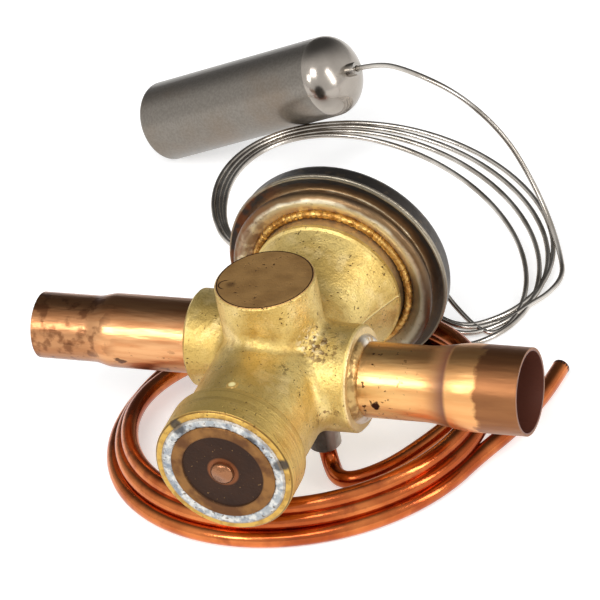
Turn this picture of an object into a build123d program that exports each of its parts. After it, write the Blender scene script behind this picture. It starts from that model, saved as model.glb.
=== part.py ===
"""Refrigerant expansion valve with a sensing bulb on a capillary and an external equalizer line.

The valve lies on its side: the main axis runs along Y, with the diaphragm head at +Y and the
closed spring end at -Y.  The outlet tube points to +X, the inlet tube to -X and the blank boss up.
Stations are distances along the main axis from the outlet axis, positive towards the head.
The origin is under the middle of the valve, on the surface that the head's rim rests on.
"""
import os
from math import cos, radians, sin, tan

from build123d import *

os.makedirs("parts", exist_ok=True)

# ---------------------------------------------------------------- driving dimensions (mm)
# forged body, along the main axis
collar_radius = 25.2          # end collar round the closed spring end
collar_length = 15.2
collar_station = -57.6        # its open face
collar_chamfer = 0.8
neck_radius = 22.5
waist_radius = 19.6           # between the ports and the head flange
waist_station = 25.0
flange_radius = 27.9          # edge that the head is brazed behind
flange_station = 48.6
flange_width = 2.4
flange_bevel = 0.8
spigot_radius = 26.4          # spigot that the lower cover fits over
spigot_length = 5.6
body_fillet = 4.5             # forged roots of the arms and the boss
collar_fillet = 1.6
thread_relief = 0.1

# blank boss
boss_radius = 18.0
boss_station = 2.5
boss_height = 38.3
boss_chamfer = 0.7

# port arms
outlet_arm_radius = 19.2
outlet_arm_reach = 31.5
inlet_station = 17.0
inlet_arm_radius = 17.6
inlet_arm_reach = 36.7
arm_chamfer = 1.0

# connection tubes (7/8 inch inlet socket, 1-1/8 inch outlet socket)
tube_wall = 1.15
stub_outer = 26.8             # both tubes where they enter the body
tube_seat_depth = 11.0        # how far a tube goes into its arm
tube_clearance = 0.1          # braze gap round a tube
inlet_socket_bore = 22.3
inlet_socket_wall = 0.85
inlet_reach = 98.0
inlet_socket_length = 21.0
inlet_taper = 8.5
outlet_socket_bore = 28.7
outlet_reach = 93.2
outlet_socket_length = 19.0
outlet_taper = 19.0
braze_leg = 2.6               # fillet of braze at the outlet collar
inlet_braze_leg = 1.0
braze_hollow = 1.3            # radius of the hollow of the braze, in legs

# flow passages
outlet_passage_radius = 10.5
outlet_passage_start = 9.0
inlet_passage_radius = 8.0
spring_chamber_radius = 14.6
spring_chamber_end = 5.0      # station of the partition that carries the seat
inlet_chamber_radius = 7.6
inlet_chamber_start = 8.4
inlet_chamber_end = 27.0

# valve seat, needle and carrier
seat_radius = 8.6             # pressed in the partition
seat_flange_radius = 9.6
seat_flange = 1.0
seat_bore = 4.2
seat_bevel = 1.2
needle_radius = 4.6
needle_tip_radius = 2.6
needle_cone = 5.0
needle_shank = 3.0
pin_radius = 2.0              # the needle's stem in the carrier
needle_stroke = 1.2
needle_gap = 0.35             # oil film between needle and seat when shut
carrier_radius = 13.4
carrier_thickness = 4.0
carrier_windows = 3           # bleed holes inside the spring
window_radius = 1.6
window_spread = 6.8
carrier_chamfer = 0.6

# push rods and packing
rod_radius = 1.2
rod_spread = 11.4             # each rod's distance from the main axis
rod_hole_clearance = 0.2
packing_radius = 14.2
packing_thickness = 2.4
packing_station = 45.0
pad_radius = 18.0
pad_hub_radius = 13.6
pad_lip = 1.8
pad_station = 55.6
pad_recess_depth = 3.2
pad_clearance = 0.6

# superheat spring and its threaded seat
spring_radius = 9.6           # to the middle of the wire
spring_wire = 2.0
spring_turns = 5
spring_seat_thickness = 5.0
spring_seat_station = -43.0
spring_seat_key = 8.0         # across flats of the hexagon socket
spring_seat_spigot = 2.0
spring_seat_play = 0.3        # round the spigot, inside the spring
spring_seat_chamfer = 0.5
spring_seat_socket = 3.0      # depth of the hexagon

# closing plug of the spring end
plug_radius = 19.1
plug_rim_radius = 14.9        # where its dished middle starts
plug_thickness = 3.6
plug_proud = 1.0
plug_dish = 0.5
plug_dish_draft = 30          # degrees
pip_radius = 4.3
pip_height = 1.9
pip_round = 1.1
plug_braze_radius = 22.7
plug_braze_height = 0.7
drilling_plug_radius = 2.1
drilling_plug_station = -38.2
drilling_plug_depth = 4.0
drilling_plug_proud = 0.25

# equalizer port, under the outlet arm
equalizer_tube_outer = 6.35   # 1/4 inch line
equalizer_tube_wall = 0.76
sleeve_radius = 5.8
sleeve_x = 12.1
sleeve_station = 0.4
sleeve_bottom = 31.0          # its lip, below the main axis
sleeve_top = 15.0             # its seat inside the body wall
sleeve_chamfer = 0.8
line_socket_depth = 10.0      # how far the line goes into the sleeve
pilot_radius = 1.0            # drilled way from the port to the space under the diaphragm
pilot_x = 10.5
pilot_drop = 13.2             # below the main axis
pilot_start = -2.0

# diaphragm head
cover_wall = 1.2
bead_step = 3.2               # middle of the bead outside the spigot
bead_station = 55.2
bead_height = 1.5
bead_offset = (-0.4, 0.7)     # middle of the bead from the bottom of its valley
valley_offset = 0.4
spigot_gap = 0.6              # end of the spigot to the cover's valley
crown_share = 0.47            # bulge of the lower cover, on the way from the valley to the edge
crown_station = 54.2
crown_side_share = 0.6        # middle of its steep side, on the way to the flat flange
rim_radius = 41.6             # over the weld, the head's largest radius
rim_flat = 1.8                # flat flange of the lower cover
rim_wall = 2.6                # foot of the upper cover, thicker than the sheet
wall_draft = 0.3
wall_end_station = 67.4       # where the upper cover's wall turns in
clamp_width = 4.2             # flat band that holds the diaphragm
rim_face_station = 61.3
back_shoulder_inset = 8.6
back_shoulder_station = 72.6
back_station = 74.6
diaphragm_thickness = 0.4
corrugation_start = 1.0       # outside the pad
corrugation_end = 2.0         # inside the clamped band
corrugation_steps = 4
corrugation_depth = 0.6
diaphragm_station = 62.9
weld_width = 1.6
weld_inset = 0.4              # middle of the weld, in from the covers' edges
cap_boss_radius = 5.0         # boss that the capillary is brazed in
cap_boss_length = 7.0
cap_boss_spigot = 2.6
cap_boss_cone = (2.0, 2.5)    # its bevelled end, across and along

# capillary and sensing bulb
capillary_outer = 2.0
capillary_wall = 0.45
bulb_outer = 31.0
bulb_wall = 1.0
bulb_length = 88.0            # straight part
bulb_dome = 10.5
bulb_end_fillet = 1.8
bulb_end_thickness = 1.6
ferrule_radius = 2.6
ferrule_length = 4.2
ferrule_root = 0.4            # how far the ferrule goes in behind the dome's wall
ferrule_round = 0.5

# the coiled lines, as blocks that stand for their turns
line_floor = 3.2              # height of the equalizer line's middle where it lies on the floor
bend_share = 0.45             # a bend's tangent length over its shorter run
line_ring_height = 16.2       # three turns stacked
line_ring_outer = ((-1.4, 5.7), (74.4, 67.8))   # centre, half length and half width
line_ring_inner = ((-1.4, 9.4), (63.0, 57.6))
line_ring_turn = 23.0         # degrees from +X to the long axis
line_ring_fillet = 1.5
capillary_ring_center = (-4.4, 121.4, 17.0)
capillary_ring_slopes = (0.2, 0.1)   # fall towards +X, climb towards +Y
capillary_ring_outer = (67.5, 45.0)
capillary_ring_inner = (55.0, 32.5)
capillary_ring_turn = -8.0    # degrees from +X to the long axis
capillary_ring_thickness = 5.0
capillary_ring_fillet = 1.0

# where the bulb lies
bulb_far_x = -118.8
bulb_far_y = 178.5
bulb_heading = -10.0          # degrees from +X, seen from above, towards the dome
bulb_rise = 23.6              # degrees that the dome end is lifted by

# ---------------------------------------------------------------- placing
front_reach = -collar_station + plug_proud + pip_height - plug_dish
back_reach = back_station + cap_boss_length
body_x = (inlet_reach - outlet_reach) / 2
port_y = (front_reach - back_reach) / 2
axis_z = rim_radius
main_axis = Axis((body_x, port_y, axis_z), (0, 1, 0))
axial = Plane(origin=(body_x, port_y, axis_z), x_dir=(1, 0, 0), z_dir=(0, 0, 1))


def station_plane(station):
    """Plane across the main axis, looking towards the head."""
    return Plane(origin=(body_x, port_y + station, axis_z), x_dir=(1, 0, 0), z_dir=(0, 1, 0))


def outlet_plane(reach):
    """Plane across the outlet axis, looking out of the outlet."""
    return Plane(origin=(body_x + reach, port_y, axis_z), x_dir=(0, 1, 0), z_dir=(1, 0, 0))


def inlet_plane(reach):
    """Plane across the inlet axis, looking out of the inlet."""
    origin = (body_x - reach, port_y + inlet_station, axis_z)
    return Plane(origin=origin, x_dir=(0, 1, 0), z_dir=(-1, 0, 0))


def rod_spots():
    """Places of the two push rods, one above and one below the main axis."""
    return PolarLocations(rod_spread, 2, start_angle=90)


def write(solid, name):
    """Label a finished piece and write its STEP file."""
    solid.label = name
    export_step(solid, f"parts/{name}.step")


def turned(*points):
    """Solid of revolution about the main axis from (radius, station) corners."""
    with BuildPart() as piece:
        with BuildSketch(axial):
            with BuildLine():
                Polyline(*points, close=True)
            make_face()
        revolve(axis=main_axis)
    return piece.part


# ---------------------------------------------------------------- stations and radii that follow
collar_back = collar_station + collar_length
spigot_station = flange_station + flange_width
body_back = spigot_station + spigot_length
plug_seat_station = collar_station + plug_thickness - plug_proud
tube_bore_radius = stub_outer / 2 + tube_clearance
stub_bore_radius = stub_outer / 2 - tube_wall
pad_floor = body_back - pad_recess_depth
drilling_floor = axis_z + neck_radius - drilling_plug_depth
seat_top = inlet_chamber_start
cone_slope = (needle_radius - needle_tip_radius) / needle_cone
needle_base = spring_chamber_end - (needle_radius - seat_bore) / cone_slope - needle_gap
carrier_top = needle_base - needle_shank
carrier_bottom = carrier_top - carrier_thickness
spring_length = carrier_bottom - spring_seat_station
bead_radius = spigot_radius + bead_step
cover_neck_radius = spigot_radius + cover_wall
weld_radius = rim_radius - weld_width / 2
rim_face_radius = weld_radius + weld_inset
diaphragm_radius = weld_radius - weld_width / 2
crown_radius = bead_radius + crown_share * (rim_face_radius - bead_radius)
flat_radius = rim_face_radius - rim_flat
crown_side_radius = crown_radius + crown_side_share * (flat_radius - crown_radius)
clamp_radius = rim_face_radius - clamp_width
back_shoulder_radius = rim_radius - back_shoulder_inset
diaphragm_back = diaphragm_station + diaphragm_thickness / 2
diaphragm_front = diaphragm_station - diaphragm_thickness / 2

# ---------------------------------------------------------------- forged body
with BuildPart() as valve_body:
    # neck, waist and flare in one turn about the main axis
    with BuildSketch(axial):
        with BuildLine():
            Line((0, collar_station), (neck_radius, collar_station))
            Line((neck_radius, collar_station), (neck_radius, inlet_station - inlet_arm_radius / 2))
            Spline(
                (neck_radius, inlet_station - inlet_arm_radius / 2),
                (waist_radius, waist_station),
                (flange_radius - flange_bevel, flange_station),
                tangents=((0, 1), (0.45, 1)),
            )
            Polyline(
                (flange_radius - flange_bevel, flange_station),
                (flange_radius, flange_station + flange_bevel),
                (flange_radius, spigot_station),
                (spigot_radius, spigot_station),
                (spigot_radius, body_back),
                (0, body_back),
                (0, collar_station),
            )
        make_face()
    revolve(axis=main_axis)
    # outlet arm, inlet arm and boss, with forged roots
    with BuildSketch(outlet_plane(0)):
        Circle(outlet_arm_radius)
    extrude(amount=outlet_arm_reach)
    with BuildSketch(inlet_plane(0)):
        Circle(inlet_arm_radius)
    extrude(amount=inlet_arm_reach)
    with BuildSketch(Plane.XY.offset(axis_z)):
        with Locations((body_x, port_y + boss_station)):
            Circle(boss_radius)
    extrude(amount=boss_height)
    roots = valve_body.edges().filter_by(lambda edge: edge.geom_type not in (GeomType.CIRCLE, GeomType.LINE))
    fillet(roots, radius=body_fillet)
    # turned ends of the boss and the arms
    chamfer(valve_body.edges().group_by(Axis.Z)[-1], length=boss_chamfer)
    chamfer(valve_body.edges().group_by(Axis.X)[-1], length=arm_chamfer)
    chamfer(valve_body.edges().group_by(Axis.X)[0], length=arm_chamfer)
    # end collar
    with BuildSketch(station_plane(collar_station)):
        Circle(collar_radius)
    extrude(amount=collar_length)
    chamfer(valve_body.edges().group_by(Axis.Y)[0], length=collar_chamfer)
    collar_edge = valve_body.edges().filter_by(GeomType.CIRCLE).filter_by_position(
        Axis.Y, port_y + collar_back - 0.1, port_y + collar_back + 0.1)
    fillet(collar_edge.sort_by(SortBy.RADIUS)[-1], radius=collar_fillet)
    # spring chamber and the seat of the end plug
    with BuildSketch(station_plane(collar_station)):
        Circle(spring_chamber_radius)
    extrude(amount=spring_chamber_end - collar_station, mode=Mode.SUBTRACT)
    with BuildSketch(station_plane(collar_station)):
        Circle(plug_radius)
    extrude(amount=plug_seat_station - collar_station, mode=Mode.SUBTRACT)
    # inlet chamber and the hole that the seat is pressed in
    with BuildSketch(station_plane(seat_top)):
        Circle(inlet_chamber_radius)
    extrude(amount=inlet_chamber_end - seat_top, mode=Mode.SUBTRACT)
    with BuildSketch(station_plane(spring_chamber_end)):
        Circle(seat_radius)
    extrude(amount=seat_top - spring_chamber_end, mode=Mode.SUBTRACT)
    with BuildSketch(station_plane(spring_chamber_end)):
        Circle(seat_flange_radius)
    extrude(amount=seat_flange, mode=Mode.SUBTRACT)
    # outlet way and inlet way, each with the bore for its tube
    with BuildSketch(outlet_plane(outlet_passage_start)):
        Circle(outlet_passage_radius)
    extrude(amount=outlet_arm_reach - outlet_passage_start, mode=Mode.SUBTRACT)
    with BuildSketch(outlet_plane(outlet_arm_reach - tube_seat_depth)):
        Circle(tube_bore_radius)
    extrude(amount=tube_seat_depth, mode=Mode.SUBTRACT)
    with BuildSketch(inlet_plane(0)):
        Circle(inlet_passage_radius)
    extrude(amount=inlet_arm_reach, mode=Mode.SUBTRACT)
    with BuildSketch(inlet_plane(inlet_arm_reach - tube_seat_depth)):
        Circle(tube_bore_radius)
    extrude(amount=tube_seat_depth, mode=Mode.SUBTRACT)
    # push rods, their packing, and the space under the diaphragm
    with BuildSketch(station_plane(spring_chamber_end)):
        with rod_spots():
            Circle(rod_radius + rod_hole_clearance)
    extrude(amount=packing_station - spring_chamber_end, mode=Mode.SUBTRACT)
    with BuildSketch(station_plane(packing_station)):
        Circle(packing_radius)
    extrude(amount=body_back - packing_station, mode=Mode.SUBTRACT)
    with BuildSketch(station_plane(pad_floor)):
        Circle(pad_radius + pad_clearance)
    extrude(amount=pad_recess_depth, mode=Mode.SUBTRACT)
    # equalizer port under the outlet arm and the drilled way to the head
    with BuildSketch(Plane.XY.offset(axis_z - sleeve_bottom)):
        with Locations((body_x + sleeve_x, port_y + sleeve_station)):
            Circle(sleeve_radius)
    extrude(amount=sleeve_bottom - sleeve_top, mode=Mode.SUBTRACT)
    with BuildSketch(Plane.XY.offset(axis_z - sleeve_top)):
        with Locations((body_x + pilot_x, port_y + sleeve_station)):
            Circle(pilot_radius)
    extrude(amount=sleeve_top - pilot_drop, mode=Mode.SUBTRACT)
    with BuildSketch(station_plane(pilot_start)):
        with Locations((pilot_x, pilot_drop)):
            Circle(pilot_radius)
    extrude(amount=body_back - pilot_start, mode=Mode.SUBTRACT)
    # cross drilling behind the collar, closed by the pressed plug
    with BuildSketch(Plane.XY.offset(axis_z)):
        with Locations((body_x, port_y + drilling_plug_station)):
            Circle(pilot_radius)
    extrude(amount=neck_radius, mode=Mode.SUBTRACT)
    with BuildSketch(Plane.XY.offset(drilling_floor)):
        with Locations((body_x, port_y + drilling_plug_station)):
            Circle(drilling_plug_radius)
    extrude(amount=drilling_plug_depth + drilling_plug_proud, mode=Mode.SUBTRACT)
write(valve_body.part, "valve_body")

# ---------------------------------------------------------------- closing of the spring end
with BuildPart() as end_plug:
    with BuildSketch(station_plane(plug_seat_station - plug_thickness)):
        Circle(plug_radius)
    extrude(amount=plug_thickness)
    fillet(end_plug.edges().group_by(Axis.Y)[0], radius=plug_proud / 2)
    # dished middle
    with BuildSketch(station_plane(plug_seat_station - plug_thickness)):
        Circle(plug_rim_radius)
    extrude(amount=plug_dish, taper=plug_dish_draft, mode=Mode.SUBTRACT)
    # round pip
    with BuildSketch(station_plane(plug_seat_station - plug_thickness + plug_dish)):
        Circle(pip_radius)
    extrude(amount=-pip_height)
    fillet(end_plug.edges().group_by(Axis.Y)[0], radius=pip_round)
write(end_plug.part, "end_plug")

with BuildPart() as end_plug_braze:
    with BuildSketch(axial):
        with BuildLine():
            Polyline(
                (plug_radius, collar_station - plug_braze_height),
                (plug_radius, collar_station),
                (plug_braze_radius, collar_station),
            )
            Spline(
                (plug_braze_radius, collar_station),
                ((plug_radius + plug_braze_radius) / 2, collar_station - plug_braze_height * 0.8),
                (plug_radius, collar_station - plug_braze_height),
            )
        make_face()
    revolve(axis=main_axis)
write(end_plug_braze.part, "end_plug_braze")

with BuildPart() as drilling_plug:
    with BuildSketch(Plane.XY.offset(drilling_floor)):
        with Locations((body_x, port_y + drilling_plug_station)):
            Circle(drilling_plug_radius)
    extrude(amount=drilling_plug_depth + drilling_plug_proud)
    chamfer(drilling_plug.edges().group_by(Axis.Z)[-1], length=drilling_plug_proud)
write(drilling_plug.part, "drilling_plug")

# ---------------------------------------------------------------- connection tubes and their braze


def socket_tube(plane, stub_start, taper_start, taper, reach, socket_outer, socket_bore):
    """Tube that leaves its arm as the plain stub and ends in a socket of another size."""
    with BuildPart() as tube:
        with BuildSketch(plane):
            with BuildLine():
                Polyline(
                    (stub_bore_radius, stub_start),
                    (stub_outer / 2, stub_start),
                    (stub_outer / 2, taper_start),
                )
                Spline(
                    (stub_outer / 2, taper_start),
                    (socket_outer / 2, taper_start + taper),
                    tangents=((0, 1), (0, 1)),
                )
                Polyline(
                    (socket_outer / 2, taper_start + taper),
                    (socket_outer / 2, reach),
                    (socket_bore / 2, reach),
                    (socket_bore / 2, taper_start + taper),
                )
                Spline(
                    (socket_bore / 2, taper_start + taper),
                    (stub_bore_radius, taper_start),
                    tangents=((0, -1), (0, -1)),
                )
                Line((stub_bore_radius, taper_start), (stub_bore_radius, stub_start))
            make_face()
        revolve(axis=Axis(plane.origin, plane.y_dir))
    return tube.part


def braze_ring(plane, reach, leg):
    """Concave fillet of braze between a tube and the end face of its arm."""
    with BuildPart() as ring:
        with BuildSketch(plane):
            with BuildLine():
                Line((stub_outer / 2, reach), (stub_outer / 2 + leg, reach))
                RadiusArc((stub_outer / 2 + leg, reach), (stub_outer / 2, reach + leg), -leg * braze_hollow)
                Line((stub_outer / 2, reach + leg), (stub_outer / 2, reach))
            make_face()
        revolve(axis=Axis(plane.origin, plane.y_dir))
    return ring.part


outlet_axial = Plane(origin=(body_x, port_y, axis_z), x_dir=(0, 0, 1), z_dir=(0, 1, 0))
inlet_axial = Plane(origin=(body_x, port_y + inlet_station, axis_z), x_dir=(0, 0, 1), z_dir=(0, -1, 0))
outlet_tube = socket_tube(
    outlet_axial,
    outlet_arm_reach - tube_seat_depth,
    outlet_reach - outlet_socket_length - outlet_taper,
    outlet_taper,
    outlet_reach,
    outlet_socket_bore + 2 * tube_wall,
    outlet_socket_bore,
)
write(outlet_tube, "outlet_tube")
inlet_tube = socket_tube(
    inlet_axial,
    inlet_arm_reach - tube_seat_depth,
    inlet_reach - inlet_socket_length - inlet_taper,
    inlet_taper,
    inlet_reach,
    inlet_socket_bore + 2 * inlet_socket_wall,
    inlet_socket_bore,
)
write(inlet_tube, "inlet_tube")
outlet_braze = braze_ring(outlet_axial, outlet_arm_reach, braze_leg)
write(outlet_braze, "outlet_braze")
inlet_braze = braze_ring(inlet_axial, inlet_arm_reach, inlet_braze_leg)
write(inlet_braze, "inlet_braze")

# ---------------------------------------------------------------- diaphragm head
with BuildPart() as head_rim_weld:
    # welded seam that has melted the edges of both covers together
    with BuildSketch(axial):
        with Locations((weld_radius, diaphragm_station)):
            Circle(weld_width / 2)
    revolve(axis=main_axis)
write(head_rim_weld.part, "head_rim_weld")

with BuildPart() as head_lower_cover:
    # stamped shell: neck over the spigot, valley for the braze, crown, rim
    with BuildSketch(axial):
        with BuildLine():
            Line((cover_neck_radius, spigot_station), (cover_neck_radius, bead_station))
            Spline(
                (cover_neck_radius, bead_station),
                (bead_radius + valley_offset, bead_station + bead_height),
                (crown_radius, crown_station),
                (crown_side_radius, (crown_station + rim_face_station) / 2),
                (flat_radius, rim_face_station),
                tangents=((0, 1), (1, 0)),
            )
            Polyline(
                (flat_radius, rim_face_station),
                (rim_face_radius, rim_face_station),
                (rim_face_radius, diaphragm_front),
                (clamp_radius, diaphragm_front),
            )
            Spline(
                (clamp_radius, diaphragm_front),
                (crown_radius, crown_station + cover_wall),
                (bead_radius, bead_station + bead_height + cover_wall),
                (spigot_radius, body_back - spigot_gap),
                tangents=((-0.55, -1), (-1, -0.6)),
            )
            Polyline(
                (spigot_radius, body_back - spigot_gap),
                (spigot_radius, spigot_station),
                (cover_neck_radius, spigot_station),
            )
        make_face()
    revolve(axis=main_axis)
    add(head_rim_weld.part, mode=Mode.SUBTRACT)
write(head_lower_cover.part, "head_lower_cover")

back_slope = (back_station - back_shoulder_station) / (back_shoulder_radius - cap_boss_spigot)
inside_radius = rim_face_radius - rim_wall
wall_radius = rim_face_radius - wall_draft
with BuildPart() as head_upper_cover:
    # stamped shell: thick foot on the clamped band, steep wall, shoulder, nearly flat back
    with BuildSketch(axial):
        with BuildLine():
            Polyline(
                (inside_radius, wall_end_station),
                (clamp_radius, diaphragm_back),
                (rim_face_radius, diaphragm_back),
                (wall_radius, wall_end_station),
            )
            Spline(
                (wall_radius, wall_end_station),
                (back_shoulder_radius, back_shoulder_station),
                tangents=((0, 1), (-1, back_slope)),
            )
            Polyline(
                (back_shoulder_radius, back_shoulder_station),
                (cap_boss_spigot, back_station),
                (cap_boss_spigot, back_station - cover_wall),
                (back_shoulder_radius, back_shoulder_station - cover_wall),
            )
            Spline(
                (back_shoulder_radius, back_shoulder_station - cover_wall),
                (inside_radius, wall_end_station),
                tangents=((1, -back_slope), (0, -1)),
            )
        make_face()
    revolve(axis=main_axis)
    add(head_rim_weld.part, mode=Mode.SUBTRACT)
write(head_upper_cover.part, "head_upper_cover")

wave_start = pad_radius + corrugation_start
wave_pitch = (clamp_radius - corrugation_end - wave_start) / corrugation_steps
waves = [wave_start + wave_pitch * step for step in range(corrugation_steps + 1)]
with BuildPart() as diaphragm:
    # round corrugations outside the pad
    with BuildSketch(axial):
        with BuildLine():
            Line((0, diaphragm_back), (0, diaphragm_front))
            Line((0, diaphragm_front), (waves[0], diaphragm_front))
            Spline(
                (waves[0], diaphragm_front),
                (waves[1], diaphragm_front - corrugation_depth),
                (waves[2], diaphragm_front + corrugation_depth),
                (waves[3], diaphragm_front - corrugation_depth),
                (waves[4], diaphragm_front),
                tangents=((1, 0), (1, 0)),
            )
            Polyline(
                (waves[4], diaphragm_front),
                (diaphragm_radius, diaphragm_front),
                (diaphragm_radius, diaphragm_back),
                (waves[4], diaphragm_back),
            )
            Spline(
                (waves[4], diaphragm_back),
                (waves[3], diaphragm_back - corrugation_depth),
                (waves[2], diaphragm_back + corrugation_depth),
                (waves[1], diaphragm_back - corrugation_depth),
                (waves[0], diaphragm_back),
                tangents=((-1, 0), (-1, 0)),
            )
            Line((waves[0], diaphragm_back), (0, diaphragm_back))
        make_face()
    revolve(axis=main_axis)
write(diaphragm.part, "diaphragm")

with BuildPart() as head_braze_bead:
    # braze that fills the valley between the cover's neck and its crown
    with BuildSketch(axial):
        with Locations((bead_radius + bead_offset[0], bead_station + bead_offset[1])):
            Circle(bead_height)
    revolve(axis=main_axis)
    add(head_lower_cover.part, mode=Mode.SUBTRACT)
write(head_braze_bead.part, "head_braze_bead")

capillary_fitting = turned(
    (capillary_outer / 2, back_station - cover_wall),
    (cap_boss_spigot, back_station - cover_wall),
    (cap_boss_spigot, back_station),
    (cap_boss_radius, back_station),
    (cap_boss_radius, back_station + cap_boss_length - cap_boss_cone[1]),
    (cap_boss_radius - cap_boss_cone[0], back_station + cap_boss_length),
    (capillary_outer / 2, back_station + cap_boss_length),
)
write(capillary_fitting, "capillary_fitting")

# ---------------------------------------------------------------- mechanism inside
pad_top = diaphragm_front
diaphragm_pad = turned(
    (0, pad_station),
    (pad_hub_radius, pad_station),
    (pad_hub_radius, pad_top - 3 * pad_lip),
    (pad_radius, pad_top - pad_lip),
    (pad_radius, pad_top),
    (0, pad_top),
)
write(diaphragm_pad, "diaphragm_pad")

with BuildPart() as push_rods:
    with BuildSketch(station_plane(carrier_top)):
        with rod_spots():
            Circle(rod_radius)
    extrude(amount=pad_station - carrier_top)
write(push_rods.part, "push_rods")

with BuildPart() as rod_packing:
    with BuildSketch(station_plane(packing_station)):
        Circle(packing_radius)
        with rod_spots():
            Circle(rod_radius + thread_relief, mode=Mode.SUBTRACT)
    extrude(amount=packing_thickness)
write(rod_packing.part, "rod_packing")

valve_seat = turned(
    (seat_bore, spring_chamber_end),
    (seat_flange_radius, spring_chamber_end),
    (seat_flange_radius, spring_chamber_end + seat_flange),
    (seat_radius, spring_chamber_end + seat_flange),
    (seat_radius, seat_top),
    (seat_bore + seat_bevel, seat_top),
    (seat_bore, seat_top - seat_bevel),
)
write(valve_seat, "valve_seat")

valve_needle = turned(
    (0, carrier_bottom),
    (pin_radius, carrier_bottom),
    (pin_radius, carrier_top),
    (needle_radius, carrier_top),
    (needle_radius, needle_base),
    (needle_tip_radius, needle_base + needle_cone),
    (0, needle_base + needle_cone),
)
write(valve_needle, "valve_needle")

with BuildPart() as needle_carrier:
    with BuildSketch(station_plane(carrier_bottom)):
        Circle(carrier_radius)
        Circle(pin_radius, mode=Mode.SUBTRACT)
        with PolarLocations(window_spread, carrier_windows):
            Circle(window_radius, mode=Mode.SUBTRACT)
    extrude(amount=carrier_thickness)
    chamfer(needle_carrier.edges().group_by(Axis.Y)[0].sort_by(SortBy.RADIUS)[-1], length=carrier_chamfer)
write(needle_carrier.part, "needle_carrier")

with BuildPart() as superheat_spring:
    coil_length = spring_length - spring_wire
    with BuildLine():
        coil = Helix(
            pitch=coil_length / spring_turns,
            height=coil_length,
            radius=spring_radius,
            center=(body_x, port_y + spring_seat_station + spring_wire / 2, axis_z),
            direction=(0, 1, 0),
        )
    with BuildSketch(Plane(origin=coil @ 0, z_dir=coil % 0)):
        Circle(spring_wire / 2)
    sweep()
write(superheat_spring.part, "superheat_spring")

with BuildPart() as spring_seat:
    with BuildSketch(station_plane(spring_seat_station - spring_seat_thickness)):
        Circle(spring_chamber_radius - thread_relief)
    extrude(amount=spring_seat_thickness)
    chamfer(spring_seat.edges().filter_by(GeomType.CIRCLE), length=spring_seat_chamfer)
    with BuildSketch(station_plane(spring_seat_station)):
        Circle(spring_radius - spring_wire / 2 - spring_seat_play)
    extrude(amount=spring_seat_spigot)
    with BuildSketch(station_plane(spring_seat_station - spring_seat_thickness)):
        RegularPolygon(spring_seat_key / 2, 6, major_radius=False)
    extrude(amount=spring_seat_socket, mode=Mode.SUBTRACT)
write(spring_seat.part, "spring_seat")

# ---------------------------------------------------------------- equalizer port
with BuildPart() as equalizer_fitting:
    with BuildSketch(Plane.XY.offset(axis_z - sleeve_bottom)):
        with Locations((body_x + sleeve_x, port_y + sleeve_station)):
            Circle(sleeve_radius)
            Circle(equalizer_tube_outer / 2, mode=Mode.SUBTRACT)
    extrude(amount=line_socket_depth)
    with BuildSketch(Plane.XY.offset(axis_z - sleeve_bottom + line_socket_depth)):
        with Locations((body_x + sleeve_x, port_y + sleeve_station)):
            Circle(sleeve_radius)
            Circle(equalizer_tube_outer / 2 - equalizer_tube_wall, mode=Mode.SUBTRACT)
    extrude(amount=sleeve_bottom - sleeve_top - line_socket_depth)
    chamfer(
        equalizer_fitting.edges().group_by(Axis.Z)[0].sort_by(SortBy.RADIUS)[-1],
        length=sleeve_chamfer,
    )
write(equalizer_fitting.part, "equalizer_fitting")

# ---------------------------------------------------------------- sensing bulb
bulb_radius = bulb_outer / 2
run = cos(radians(bulb_rise))
along_bulb = Vector(
    run * cos(radians(bulb_heading)),
    run * sin(radians(bulb_heading)),
    sin(radians(bulb_rise)),
)
bulb_far_z = bulb_radius * run
bulb_side = Vector(-sin(radians(bulb_heading)), cos(radians(bulb_heading)), 0)
bulb_far = Vector(bulb_far_x, bulb_far_y, bulb_far_z)
bulb_axis = Axis(bulb_far, along_bulb)
bulb_plane = Plane(origin=bulb_far, x_dir=along_bulb.cross(bulb_side), z_dir=bulb_side)
dome_pole = bulb_length + bulb_dome
with BuildPart() as bulb_tube:
    with BuildSketch(Plane(origin=bulb_far, z_dir=along_bulb).offset(bulb_end_thickness + bulb_end_fillet)):
        Circle(bulb_radius)
        Circle(bulb_radius - bulb_wall, mode=Mode.SUBTRACT)
    extrude(amount=bulb_length - bulb_end_thickness - bulb_end_fillet)
write(bulb_tube.part, "bulb_tube")

with BuildPart() as bulb_end_disc:
    # pressed cup: flat bottom, rounded edge, short wall that meets the tube
    with BuildSketch(Plane(origin=bulb_far, z_dir=along_bulb)):
        Circle(bulb_radius)
    extrude(amount=bulb_end_thickness + bulb_end_fillet)
    with BuildSketch(Plane(origin=bulb_far, z_dir=along_bulb).offset(bulb_end_thickness)):
        Circle(bulb_radius - bulb_wall)
    extrude(amount=bulb_end_fillet, mode=Mode.SUBTRACT)
    fillet(bulb_end_disc.edges().sort_by(Axis(bulb_far, along_bulb))[0], radius=bulb_end_fillet)
write(bulb_end_disc.part, "bulb_end_disc")

with BuildPart() as bulb_dome_part:
    with BuildSketch(bulb_plane):
        with BuildLine():
            EllipticalCenterArc((0, bulb_length), bulb_radius, bulb_dome, start_angle=0, arc_size=90)
            Line((0, dome_pole), (0, dome_pole - bulb_wall))
            EllipticalCenterArc(
                (0, bulb_length),
                bulb_radius - bulb_wall,
                bulb_dome - bulb_wall,
                start_angle=0,
                arc_size=90,
            )
            Line((bulb_radius - bulb_wall, bulb_length), (bulb_radius, bulb_length))
        make_face()
    revolve(axis=bulb_axis)
    with BuildSketch(Plane(origin=bulb_far, z_dir=along_bulb).offset(bulb_length)):
        Circle(ferrule_radius)
    extrude(amount=bulb_dome * 2, mode=Mode.SUBTRACT)
write(bulb_dome_part.part, "bulb_dome")

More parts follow.
